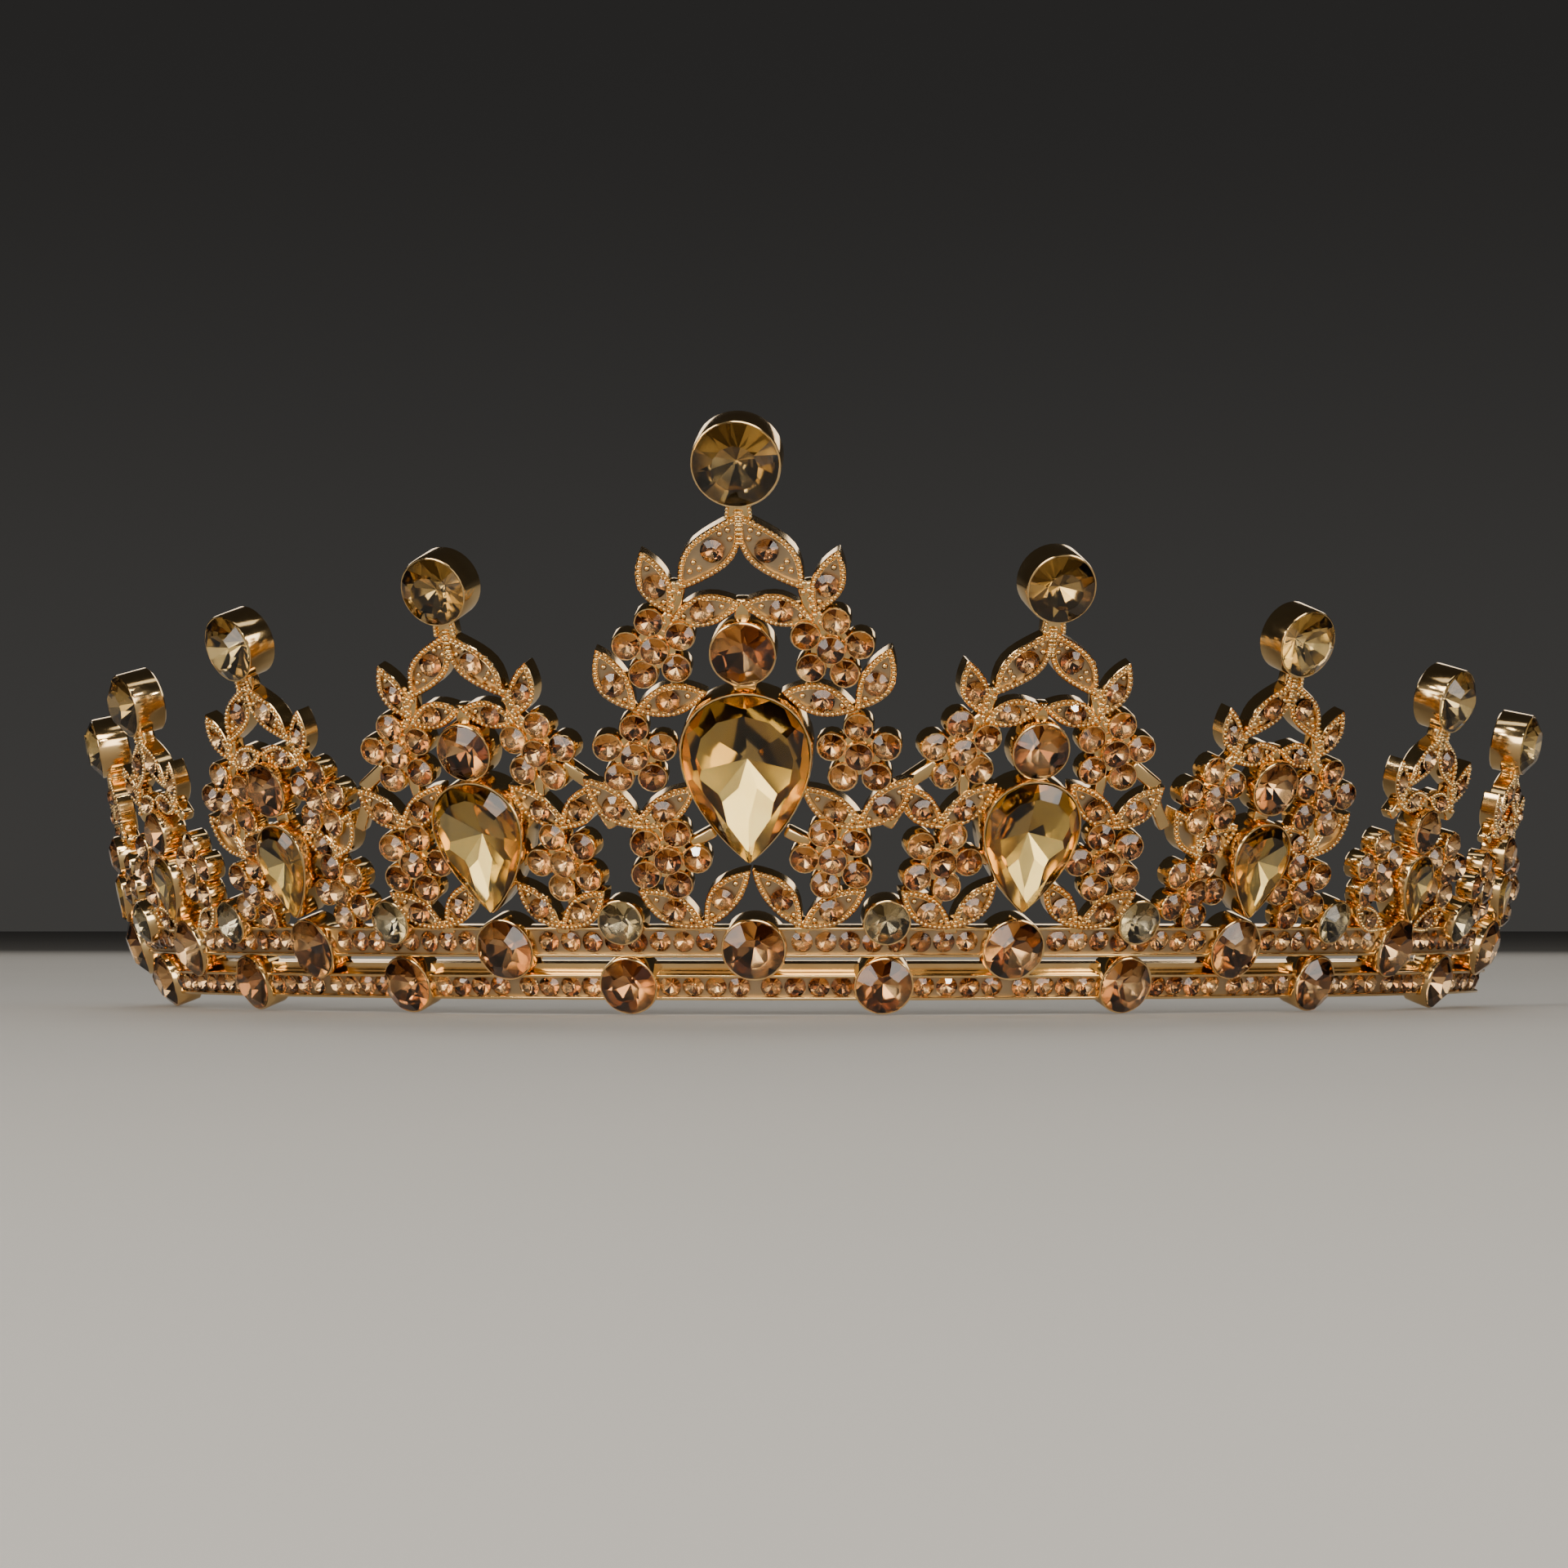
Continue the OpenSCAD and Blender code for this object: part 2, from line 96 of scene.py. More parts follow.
class Finish:
    """The nodes of one material. Every node comes from node(): its type, settings, then sockets."""

    def __init__(self, holder):
        self.holder = holder
        holder.use_nodes = True
        self.tree = holder.node_tree
        self.tree.nodes.clear()

    def node(self, kind, settings=None, sockets=None, out=0):
        made = self.tree.nodes.new("ShaderNode" + kind)
        for name, value in (settings or {}).items():
            setattr(made, name, value)
        for name, value in (sockets or {}).items():
            if isinstance(value, Signal):
                self.tree.links.new(value.socket, made.inputs[name])
            else:
                made.inputs[name].default_value = value
        return Signal(self, made.outputs[out]) if len(made.outputs) else None

    def blotches(self, scale, detail=2.0):
        where = self.node("TexCoord", out="Object")
        return self.node("TexNoise", None, {"Vector": where, "Scale": scale, "Detail": detail})

    def blend(self, mask, first, second):
        return self.node("Mix", {"data_type": "RGBA"}, {0: mask, 6: (*first, 1), 7: (*second, 1)}, out=2)

    def shine(self, **sockets):
        named = {name.replace("_", " ").title().replace("Ior", "IOR"): v for name, v in sockets.items()}
        self.node("OutputMaterial", None, {"Surface": self.node("BsdfPrincipled", None, named)})
        return self


def plating(name, dark, light, rough, rough_spread, grain):
    """Plated metal: colour and gloss drift over it, and a fine grain breaks up its highlights."""
    finish = Finish(bpy.data.materials.new(name))
    drift = finish.blotches(260.0)
    pitted = finish.blotches(2600.0, 1.0)
    bumps = {"Height": pitted, "Strength": grain, "Distance": 0.00002}
    return finish.shine(
        base_color=finish.blend(drift, dark, light),
        metallic=1.0,
        roughness=rough + rough_spread * finish.blotches(900.0),
        normal=finish.node("Bump", None, bumps),
    )


bright_plate = plating("bright_gold_plate", (0.75, 0.45, 0.17), (0.99, 0.75, 0.39), 0.06, 0.12, 0.15)
# The sunk floors' plating is rougher satin, and its colour is painted darker than the bright plate as shade
# in the recesses
satin_and_shade_plate = plating("satin_floor_painted_shade", (0.43, 0.31, 0.18), (0.51, 0.38, 0.24), 0.36, 0.12, 0.4)
cast_plate = plating("cast_gold_back", (0.60, 0.38, 0.15), (0.78, 0.54, 0.25), 0.30, 0.14, 0.7)
METAL = [bright_plate, satin_and_shade_plate, cast_plate]
# The number of the satin floors' plating, whose darker colour is painted shade
SATIN_AND_SHADE = 1
CAST = 2


def turn(s):
    """How far the band has turned at arc length s from its middle."""
    if abs(s) <= SIDE_START:
        return s / FRONT_RADIUS
    return math.copysign(FRONT_TURN + (abs(s) - SIDE_START) / SIDE_RADIUS, s)


def arc_centre(side):
    """The middle of the front arc, or of the wider arc at the left (-1) or the right (1)."""
    reach = FRONT_RADIUS - SIDE_RADIUS if side else 0.0
    return Vector((reach * side * math.sin(FRONT_TURN), PLAN_BACK - reach * math.cos(FRONT_TURN), 0))


def at(x, y, z=0.0):
    """A place in a casting's own plane: x across, y up and z out of it."""
    return Matrix.Translation((x, y, z))


def on_band(s, lean=BAND_LEAN):
    """Where a casting stands at arc length s: its x along the band, y up the lean and z outwards."""
    side = 0 if abs(s) <= SIDE_START else int(math.copysign(1, s))
    radius = SIDE_RADIUS if side else FRONT_RADIUS
    foot = arc_centre(side) + radius * Vector((math.sin(turn(s)), -math.cos(turn(s)), 0))
    foot.z = BASE_RISE
    pivot = at(0, UPPER_STONE_Y)
    return (
        Matrix.Translation(foot)
        @ Matrix.Rotation(turn(s), 4, "Z")
        @ Matrix.Rotation(math.radians(90 + BAND_LEAN), 4, "X")
        @ pivot
        @ Matrix.Rotation(math.radians(lean - BAND_LEAN), 4, "X")
        @ pivot.inverted()
    )


def dull_backs(bm):
    """The backs of castings and cups aren't polished. They still lie facing down their own z."""
    for f in bm.faces:
        if f.normal.z < -0.95:
            f.material_index = CAST


def as_object(bm, name, finishes):
    """Links a mesh as an object at the origin, with its finishes."""
    mesh = bpy.data.meshes.new(name)
    bm.to_mesh(mesh)
    for finish in finishes:
        mesh.materials.append(finish.holder)
    item = bpy.data.objects.new(name, mesh)
    bpy.context.collection.objects.link(item)
    return item


def make_piece(bm, name, finishes, crease=35.0, replaced=()):
    """Turns a finished mesh in millimetres into a piece that rides on the tiara's one body."""
    bmesh.ops.scale(bm, vec=(MILLIMETRE,) * 3, verts=bm.verts)
    item = as_object(bm, name, finishes)
    bm.free()
    if crease:
        item.data.shade_smooth()
        item.data.set_sharp_from_angle(angle=math.radians(crease))
    else:
        item.data.shade_flat()
    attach(item, "root")
    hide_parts(*replaced)
    return item


def drill(bm, seats, sides):
    """Cuts round blind holes. A seat is its place, its radius, its floor's height and its top's."""
    tool = bmesh.new()
    for place, radius, bottom, top in seats:
        bmesh.ops.create_cone(
            tool, cap_ends=True, segments=sides, radius1=radius, radius2=radius,
            depth=top - bottom, matrix=place @ at(0, 0, (bottom + top) / 2),
        )
    blank = as_object(bm, "blank", METAL)
    cutter = as_object(tool, "cutter", METAL)
    tool.free()
    cut = blank.modifiers.new("seats", "BOOLEAN")
    cut.operation = "DIFFERENCE"
    cut.solver = "MANIFOLD"
    cut.object = cutter
    drilled = bpy.data.meshes.new_from_object(blank.evaluated_get(bpy.context.evaluated_depsgraph_get()))
    bm.clear()
    bm.from_mesh(drilled)
    for item in (blank, cutter):
        mesh = item.data
        bpy.data.objects.remove(item)
        bpy.data.meshes.remove(mesh)
    bpy.data.meshes.remove(drilled)


def sweep(bm, corners, rounded, radius, floor=()):
    """Carries a closed section, given as heights up the lean and depths, along the whole band."""
    layer = bm.verts.layers.int.get("floor") or bm.verts.layers.int.new("floor")
    section = [bm.verts.new(on_band(-HALF_LENGTH) @ Vector((0, y, out))) for y, out in corners]
    for i in floor:
        section[i][layer] = 1
    bm.faces.new(section)
    old = set(bm.faces) - {section[0].link_faces[0]}
    bmesh.ops.bevel(
        bm, geom=[section[i] for i in rounded], offset=radius, segments=3, affect="VERTICES",
        profile=0.5, material=-1,
    )
    end = [f for f in bm.faces if f not in old]
    geom = end + [e for f in end for e in f.edges] + [v for f in end for v in f.verts]
    for side, angle, steps in (
        (-1, SIDE_TURN, SIDE_STEPS), (0, 2 * FRONT_TURN, FRONT_STEPS), (1, SIDE_TURN, SIDE_STEPS),
    ):
        geom = bmesh.ops.spin(
            bm, geom=geom, cent=arc_centre(side), axis=(0, 0, 1), dvec=(0, 0, 0), angle=angle,
            space=Matrix(), steps=steps, use_merge=False, use_normal_flip=False, use_duplicate=False,
        )["geom_last"]
    # The channel floor gets the satin plating, painted darker as shade
    for f in bm.faces:
        if len(f.verts) == 4 and all(v[layer] for v in f.verts):
            f.material_index = SATIN_AND_SHADE


def channel(bm, band):
    """A strip with two raised rails and a sunk satin floor between them, its colour painted darker as
    shade.
    """
    low, high = band
    corners = [
        (low, 0), (low, BAND_BACK), (high, BAND_BACK), (high, 0),
        (high - RAIL, 0), (high - RAIL, CHANNEL_FLOOR), (low + RAIL, CHANNEL_FLOOR), (low + RAIL, 0),
    ]
    sweep(bm, corners, (0, 1, 2, 3, 4, 7), EDGE_ROUNDING, (5, 6))


# The milled lines run between two distances behind the strip's front, which is let into the bands
MILLED_LINES = [(0.60, 0.72), (0.25, 0.37)]
LINE_DEPTH = 0.12
REAR_FRONT = BAND_BACK + 0.15
REAR_ROUNDING = 0.4


def rear_strip(bm):
    """A plain strip, rounded at the back, with the milled lines in its top edge."""
    low, high = REAR_BAND
    corners = [(low, REAR_FRONT), (low, REAR_BACK), (high, REAR_BACK)]
    for near, far in MILLED_LINES:
        corners += [
            (high, REAR_FRONT - far), (high - LINE_DEPTH, REAR_FRONT - far),
            (high - LINE_DEPTH, REAR_FRONT - near), (high, REAR_FRONT - near),
        ]
    corners.append((high, REAR_FRONT))
    sweep(bm, corners, (1, 2), REAR_ROUNDING)


# Channel stones lie in two rows on each band, eight between neighbouring large stones
SMALL_GAP = 0.03
CHANNEL_STONE_R = 1.02
CHANNEL_STONE_RIM = -0.34
LAST_STONE = HALF_LENGTH - 1.3
LOWER_STEPS = [1.70, 4.15, 6.60, 9.00]
UPPER_STEPS = [1.21, 3.63, 6.05, 8.47]


def channel_places(stations, steps, band):
    """Stones to both sides of each middle between two large stones, and on to the band's ends."""
    along = [m * PITCH + side * step for m in stations for side in (-1, 1) for step in steps]
    return [on_band(s) @ at(0, sum(band) / 2) for s in sorted(along) if abs(s) < LAST_STONE]


channel_stones = {
    "channel_stones_lower": channel_places(SIDES, LOWER_STEPS, LOWER_BAND),
    "channel_stones_upper": channel_places([k + 0.5 for k in range(-5, 5)], UPPER_STEPS, UPPER_BAND),
}

# A large stone's cup has its wall just outside the stone. Its hole in the metal ends inside that wall,
# and is drilled from well above the metal.
SETTING_GAP = 0.06
CUP_WALL = 0.3
CUP_HOLE = SETTING_GAP + CUP_WALL / 2
CULET = 0.68
ROW_RIM = 0.5
BETWEEN_RIM = 0.9
UPPER_STONE_R = 3.05
LOWER_STONE_R = 2.8
BETWEEN_STONE_R = 2.15
ABOVE = 3.0
HOLE_STEPS = 32


def row(stations, y):
    """Places along the band, in pitches from its middle, at one height up the lean."""
    return [on_band(k * PITCH) @ at(0, y) for k in stations]


# Each row's places, and its stones' radius, its cups' rim and its cups' back
rows = {
    "upper_row": (row(SIDES, UPPER_STONE_Y), UPPER_STONE_R, ROW_RIM, -2.45),
    "lower_row": (row(LOWER_STATIONS, LOWER_STONE_Y), LOWER_STONE_R, ROW_RIM, -2.45),
    "between": (row(LOWER_STATIONS, BETWEEN_STONE_Y), BETWEEN_STONE_R, BETWEEN_RIM, -1.9),
}


def seat_depth(radius):
    """How far below its rim a cup is hollow, so that the stone's point is free."""
    return CULET * radius + 0.2


def cup_seats(places, radius, rim):
    """The holes that take the cups of stones of one size."""
    return [(place, radius + CUP_HOLE, rim - seat_depth(radius) - 0.05, ABOVE) for place in places]


bands = bmesh.new()
channel(bands, LOWER_BAND)
channel(bands, UPPER_BAND)
rear_strip(bands)
bmesh.ops.recalc_face_normals(bands, faces=bands.faces)
small_seats = [
    (place, CHANNEL_STONE_R + SMALL_GAP, CHANNEL_STONE_RIM - seat_depth(CHANNEL_STONE_R), ABOVE)
    for places in channel_stones.values() for place in places
]
drill(bands, small_seats, 16)
for places, radius, rim, back in rows.values():
    drill(bands, cup_seats(places, radius, rim), HOLE_STEPS)
make_piece(bands, "bands", METAL, replaced=["frame"])

# The row cups: turned brass cups with a thin bright lip that hold the large stones. One row straddles
# the two bands, one sits on the lower band and one between the castings. They are soldered in place.


def turned(profile, steps):
    """Turns a profile of radii and heights, which starts and ends on the axis, into a closed solid."""
    bm = bmesh.new()
    verts = [bm.verts.new((radius, 0, height)) for radius, height in profile]
    edges = [bm.edges.new(pair) for pair in zip(verts, verts[1:])]
    bmesh.ops.spin(
        bm, geom=verts + edges, cent=(0, 0, 0), axis=(0, 0, 1), dvec=(0, 0, 0), angle=math.tau,
        space=Matrix(), steps=steps, use_merge=True, use_normal_flip=False, use_duplicate=False,
    )
    bmesh.ops.remove_doubles(bm, verts=bm.verts, dist=0.0001)
    bmesh.ops.recalc_face_normals(bm, faces=bm.faces)
    dull_backs(bm)
    mesh = bpy.data.meshes.new("turned")
    bm.to_mesh(mesh)
    bm.free()
    return mesh


def stamp(bm, template, place):
    """Adds a copy of a template mesh at a place."""
    copy = template.copy()
    copy.transform(place)
    bm.from_mesh(copy)
    bpy.data.meshes.remove(copy)


def cup(radius, back, rim):
    """A round cup, from its back up the outside, over the lip and down to the seat."""
    inner = radius + SETTING_GAP
    outer = inner + CUP_WALL
    seat = rim - seat_depth(radius)
    return turned([
        (0, back), (outer - 0.18, back), (outer, back + 0.18), (outer, rim - 0.16),
        (outer - 0.05, rim - 0.04), (outer - 0.13, rim), (inner + 0.03, rim - 0.03),
        (inner, rim - 0.12), (inner, seat), (0, seat),
    ], 40)


cups = bmesh.new()
for places, radius, rim, back in rows.values():
    template = cup(radius, back, rim)
    for place in places:
        stamp(cups, template, place)
make_piece(cups, "row_cups", METAL)

# The cut stones: pressed lead glass with a mirror foil on the back, so that they flash. Their facets'
# flash, shade and glow are also painted into the foil, and their crowns' depth of colour into the glass.
# Each is ground here as a cutter does it, plane by plane from a round or pear blank, and then lies in its
# cup.

# Corners this near a facet's plane count as on it, so that many facets can meet in one point
SNAP = 0.0005


def grind(bm, point, normal):
    """Takes off all that lies past a plane, and closes the stone with one flat facet."""
    geom = bm.verts[:] + bm.edges[:] + bm.faces[:]
    cut = bmesh.ops.bisect_plane(
        bm, geom=geom, dist=SNAP, plane_co=point, plane_no=normal, clear_outer=True,
    )["geom_cut"]
    bmesh.ops.edgeloop_fill(bm, edges=[e for e in cut if isinstance(e, bmesh.types.BMEdge)])


def facet(bm, angle, reach, height, slope):
    """Grinds a facet that faces angle and lies reach from the axis at that height."""
    point = (reach * math.cos(angle), reach * math.sin(angle), height)
    grind(bm, point, Vector((math.cos(angle), math.sin(angle), slope)))


def stone_mesh(bm, crown_of, foil_of):
    """A clear table, crown facets round it painted in a deeper glass as shade, and foil behind whose facets
    are painted with flash, shade or glow.
    """
    bmesh.ops.recalc_face_normals(bm, faces=bm.faces)
    for f in bm.faces:
        if f.normal.z > 0.99:
            f.material_index = CLEAR_GLASS
        else:
            f.material_index = crown_of(f) if f.normal.z > -0.05 else foil_of(f)
    mesh = bpy.data.meshes.new("stone")
    bm.to_mesh(mesh)
    bm.free()
    return mesh


# The order of a stone's materials: clear glass, a deeper glass painted as shade, and foils painted as
# flash, shade and glow. Then the one seeded draw for all that is uneven about stones
jitter = random.Random(11)
CLEAR_GLASS = 0
# A deeper copy of the stone's glass, painted on crown facets as shade
PAINTED_DEEP_GLASS = 1
# The foils are painted light: a lit flash, a dark shade and an orange glow, each on whole facets
PAINTED_FLASH_FOIL = 2
PAINTED_SHADE_FOIL = 3
PAINTED_GLOW_FOIL = 4


# Crown facets are painted clear or deeper at random, the deeper ones as shade
def pick_painted_depth(f):
    return jitter.choice((CLEAR_GLASS, PAINTED_DEEP_GLASS))


def pick_painted_foil(f):
    """Paints flash, shade and glow on the foil, facet by facet at random, so that neighbouring facets
    seldom flash together.
    """
    return jitter.choice((PAINTED_FLASH_FOIL, PAINTED_FLASH_FOIL, PAINTED_SHADE_FOIL, PAINTED_GLOW_FOIL))


def round_cut(mains, table, crown, stars, blank_sides):
    """A round stone of radius one with its girdle at height zero."""
    bm = bmesh.new()
    bmesh.ops.create_cone(
        bm, cap_ends=True, segments=blank_sides, radius1=1, radius2=1, depth=2,
    )
    step = math.tau / mains
    rise = crown / (1 - table * math.cos(step / 2))
    grind(bm, (0, 0, crown), (0, 0, 1))
    for i in range(mains):
        facet(bm, i * step, 1.0, 0.0, 1 / rise)
        if stars:
            facet(bm, (i + 0.5) * step, 1.0, 0.06, 0.72 / rise)
    for i in range(mains):
        facet(bm, (i + 0.25) * step, 1.0, -0.04, -1 / CULET)
        if stars:
            facet(bm, (i + 0.75) * step, 1.0, -0.04, -0.86 / CULET)
    return stone_mesh(bm, pick_painted_depth, pick_painted_foil)


STONE_CUTS = {
    "fine": [round_cut(8, 0.52, 0.34, True, 32) for _ in range(3)],
    "many": [round_cut(12, 0.55, 0.34, False, 36) for _ in range(3)],
    "small": [round_cut(8, 0.5, 0.38, False, 16) for _ in range(4)],
}


PEAR_SHARPNESS = 0.8
PEAR_POINT = 0.089
PEAR_DEPTH = 0.27
PEAR_CROWN = 0.11


def pear_points(width, length, count):
    """A pear outline, its round end up, worked out from one angle that runs round it."""
    widest = math.acos(-PEAR_SHARPNESS / (2 + PEAR_SHARPNESS))

    def swell(t):
        return math.sin(t) * math.sin(t / 2) ** PEAR_SHARPNESS

    points = []
    for i in range(count):
        t = math.tau * i / count
        folded = min(t, math.tau - t)
        side = 1 if t <= math.pi else -1
        points.append(Vector((
            side * width / 2 * swell(folded) / swell(widest), -length / 2 * math.cos(folded), 0,
        )))
    return points


# A pear's crown facets, by how far each is turned from the round end. Then its back facets: how far
# each is turned from the tip, and where a main facet's plane would meet the girdle's level as a share
# of the width, or how steep an outer half facet is.
PEAR_CROWN_TURNS = [15, 45, 75, 101, 124]
PEAR_MAINS = [(0, 0.877), (40, 0.85), (75, 0.70), (110, 0.61), (150, 0.60)]
PEAR_HALVES = [(20, 0.364), (57, 0.86), (92, 0.83), (130, 0.70), (170, 0.60)]


def pear_cut(width, length):
    """A pear stone about its pavilion's point, with its girdle's top at height zero."""
    crown = PEAR_CROWN * width
    depth = PEAR_DEPTH * width
    point = Vector((0, PEAR_POINT * length, 0))
    outline = [p - point for p in pear_points(width, length, 40)]
    bm = bmesh.new()
    blank = bm.faces.new([bm.verts.new(p + Vector((0, 0, -2 * depth))) for p in outline])
    walls = bmesh.ops.extrude_face_region(bm, geom=[blank])["geom"]
    top = [v for v in walls if isinstance(v, bmesh.types.BMVert)]
    bmesh.ops.translate(bm, vec=(0, 0, 3 * depth), verts=top)

    def reach(angle):
        return max(p.x * math.cos(angle) + p.y * math.sin(angle) for p in outline)

    grind(bm, (0, 0, crown), (0, 0, 1))
    for turned_by in PEAR_CROWN_TURNS:
        for side in (-1, 1):
            angle = math.radians(90 + side * turned_by)
            far = reach(angle)
            facet(bm, angle, far, 0.0, 0.25 * far / crown)
    for turned_by, far in PEAR_MAINS:
        for side in (-1, 1) if turned_by else (1,):
            facet(bm, math.radians(270 + side * turned_by), far * width, 0.0, -far * width / depth)
    for turned_by, steep in PEAR_HALVES:
        for side in (-1, 1):
            angle = math.radians(270 + side * turned_by)
            facet(bm, angle, reach(angle), -0.008 * width, -1 / steep)

    def pear_painted_foil(f):
        """Paints the foil's light: the steep outer facets a painted orange glow; of the flat ones, the
        upper a painted grey shade and the lower a painted cream flash.
        """
        if f.normal.z > -0.90:
            return PAINTED_GLOW_FOIL
        return PAINTED_SHADE_FOIL if f.calc_center_median().y > 0.08 * width else PAINTED_FLASH_FOIL

    # A pear's crown is all painted in the deeper glass, as shade
    return stone_mesh(bm, lambda f: PAINTED_DEEP_GLASS, pear_painted_foil)


def glass(name, dark, light):
    """Clear tinted glass. Its tint drifts a little from stone to stone."""
    finish = Finish(bpy.data.materials.new(name))
    return finish.shine(
        base_color=finish.blend(finish.blotches(120.0, 1.0), dark, light),
        roughness=0.01 + 0.02 * finish.blotches(700.0),
        transmission_weight=1.0,
        ior=1.56,
    )


def foil(name, dark, light, rough):
    """The mirror foil behind a stone in one painted tone of flash, shade or glow, a little uneven in colour
    and gloss.
    """
    finish = Finish(bpy.data.materials.new(name))
    return finish.shine(
        base_color=finish.blend(finish.blotches(350.0), dark, light),
        metallic=1.0,
        roughness=rough + 0.06 * finish.blotches(500.0),
    )


def gem(name, clear, painted_deep, bright, dim, rim):
    """A stone's five materials, in the order of their numbers: clear glass, a deeper glass painted as
    shade, and foils painted as flash, shade and glow. Each colour drifts between two.
    """
    glasses = [glass(name, *clear), glass("deep_" + name, *painted_deep)]
    foils = (("_flash_painted_foil", bright, 0.17), ("_shade_painted_foil", dim, 0.04), ("_glow_painted_foil", rim, 0.08))
    return glasses + [foil(name + part, *pair, rough) for part, pair, rough in foils]


# In each stone, bright is a painted flash, dim a painted shade, rim a painted glow, and deep a painted
# deeper glass
TOPAZ = gem(
    "topaz_glass",
    clear=[(0.93, 0.75, 0.56), (0.97, 0.86, 0.70)],
    painted_deep=[(0.80, 0.54, 0.33), (0.88, 0.67, 0.45)],
    bright=[(0.84, 0.56, 0.30), (0.94, 0.73, 0.45)],
    dim=[(0.16, 0.07, 0.030), (0.26, 0.125, 0.055)],
    rim=[(0.42, 0.22, 0.095), (0.55, 0.32, 0.155)],
)
AMBER = gem(
    "amber_glass",
    clear=[(0.90, 0.78, 0.52), (0.96, 0.87, 0.66)],
    painted_deep=[(0.80, 0.64, 0.38), (0.88, 0.75, 0.50)],
    bright=[(0.88, 0.70, 0.38), (0.97, 0.82, 0.50)],
    dim=[(0.28, 0.20, 0.09), (0.40, 0.30, 0.14)],
    rim=[(0.60, 0.45, 0.22), (0.72, 0.56, 0.30)],
)
CITRINE = gem(
    "citrine_glass",
    clear=[(0.97, 0.86, 0.54), (0.99, 0.92, 0.68)],
    painted_deep=[(0.90, 0.58, 0.20), (0.95, 0.70, 0.30)],
    bright=[(0.95, 0.72, 0.30), (1.0, 0.84, 0.44)],
    dim=[(0.46, 0.40, 0.26), (0.62, 0.55, 0.38)],
    rim=[(0.84, 0.50, 0.16), (0.95, 0.68, 0.28)],
)
SMOKE = gem(
    "smoke_glass",
    clear=[(0.90, 0.84, 0.70), (0.96, 0.92, 0.80)],
    painted_deep=[(0.74, 0.66, 0.50), (0.84, 0.77, 0.62)],
    bright=[(0.76, 0.68, 0.50), (0.90, 0.83, 0.66)],
    dim=[(0.16, 0.13, 0.08), (0.26, 0.22, 0.15)],
    rim=[(0.46, 0.40, 0.28), (0.60, 0.53, 0.39)],
)
# A set stone is drawn this much wider than its solid, and so lies on its cup's lip
OVERLAP = 0.14


def set_stone(bm, cut, place, radius, rim, tilt=3.0):
    """Lays a stone on its cup's lip, turned at random and never quite straight, as glued stones lie."""
    lean = Matrix.Rotation(math.radians(jitter.uniform(-tilt, tilt)), 4, "X")
    lean @= Matrix.Rotation(math.radians(jitter.uniform(-tilt, tilt)), 4, "Y")
    spin = Matrix.Rotation(jitter.uniform(0, math.tau), 4, "Z")
    seat = place @ at(0, 0, rim + 0.03) @ lean @ spin @ Matrix.Scale(radius + OVERLAP, 4)
    stamp(bm, jitter.choice(STONE_CUTS[cut]), seat)


for name, places in channel_stones.items():
    stones = bmesh.new()
    for place in places:
        set_stone(stones, "small", place, CHANNEL_STONE_R, CHANNEL_STONE_RIM, 6.0)
    make_piece(stones, name, TOPAZ, None)
for name, gems, slot, node in (
    ("upper_row", TOPAZ, "topaz_glass", "upper_row_stones"),
    ("lower_row", TOPAZ, "topaz_glass", "lower_row_stones"),
    ("between", SMOKE, "smoke_glass", "between_stones"),
):
    places, radius, rim, back = rows[name]
    stones = bmesh.new()
    for place in places:
        set_stone(stones, "fine", place, radius, rim, 2.0)
    make_piece(stones, name + "_cut_stones", gems, None, [node])

# The castings: nine pierced crests of leaves, flowers and short bars, cast in one piece each and
# soldered upright on the bands. Each leaf has a beaded border round a sunk satin floor with a stone,
# and that floor's colour is painted darker as shade.
# A motif's sizes: lean, round stone height and radius, crest scale, top stone radius, pear width,
# length and height.
MOTIFS = [
    (22.0, 36.7, 3.10, 1.000, 4.25, 13.0, 18.0, 23.4),
    (22.0, 26.3, 2.80, 0.872, 3.40, 10.0, 14.0, 15.9),
    (19.5, 22.2, 2.70, 0.790, 3.35, 7.0, 10.0, 13.2),
    (16.0, 17.4, 2.20, 0.730, 3.20, 5.0, 7.0, 11.1),
    (12.0, 14.9, 1.95, 0.630, 3.10, 4.0, 5.0, 10.05),
]
CREST_TOP = 20.1
# Leaves: start x, y, tip x, y, half width, bow and sway. A crest's are in its own scale, above its
# round stone. The others are in millimetres, for the middle motif first and the outermost last.
CREST_LEAVES = [
    (0, 14.6, 6.3, 6.6, 2.2, -0.13, -0.28),
    (7.2, 4.0, 10.1, 10.8, 1.7, -0.25, 0),
    (7.4, 3.3, 0, 5.2, 1.7, -0.15, 0),
]
LEAVES = [
    [
        (11.3, 30.3, 15.1, 37.0, 1.75, -0.45, 0), (11.4, 30.3, 3.8, 32.3, 1.75, -0.15, 0),
        (11.0, 17.4, 17.0, 23.0, 1.70, -0.25, 0), (12.0, 17.4, 5.4, 22.0, 1.65, 0.25, 0),
        (5.0, 6.4, 11.8, 10.6, 1.70, 0, 0), (5.0, 6.4, 0.1, 12.8, 1.60, -0.45, 0),
    ],
    [
        (10.1, 17.4, 4.0, 22.4, 1.60, 0.20, 0), (9.1, 17.4, 14.4, 22.2, 1.60, -0.20, 0),
        (6.9, 6.3, 2.7, 11.6, 1.50, 0.10, 0), (6.9, 6.3, 12.9, 10.5, 1.60, -0.10, 0),
    ],
    [(8.7, 14.3, 3.2, 17.8, 1.45, 0.15, 0), (7.7, 14.3, 12.3, 19.4, 1.50, -0.20, 0)],
    [(2.9, 6.2, 9.7, 8.7, 1.40, -0.20, 0)],
    [],
]
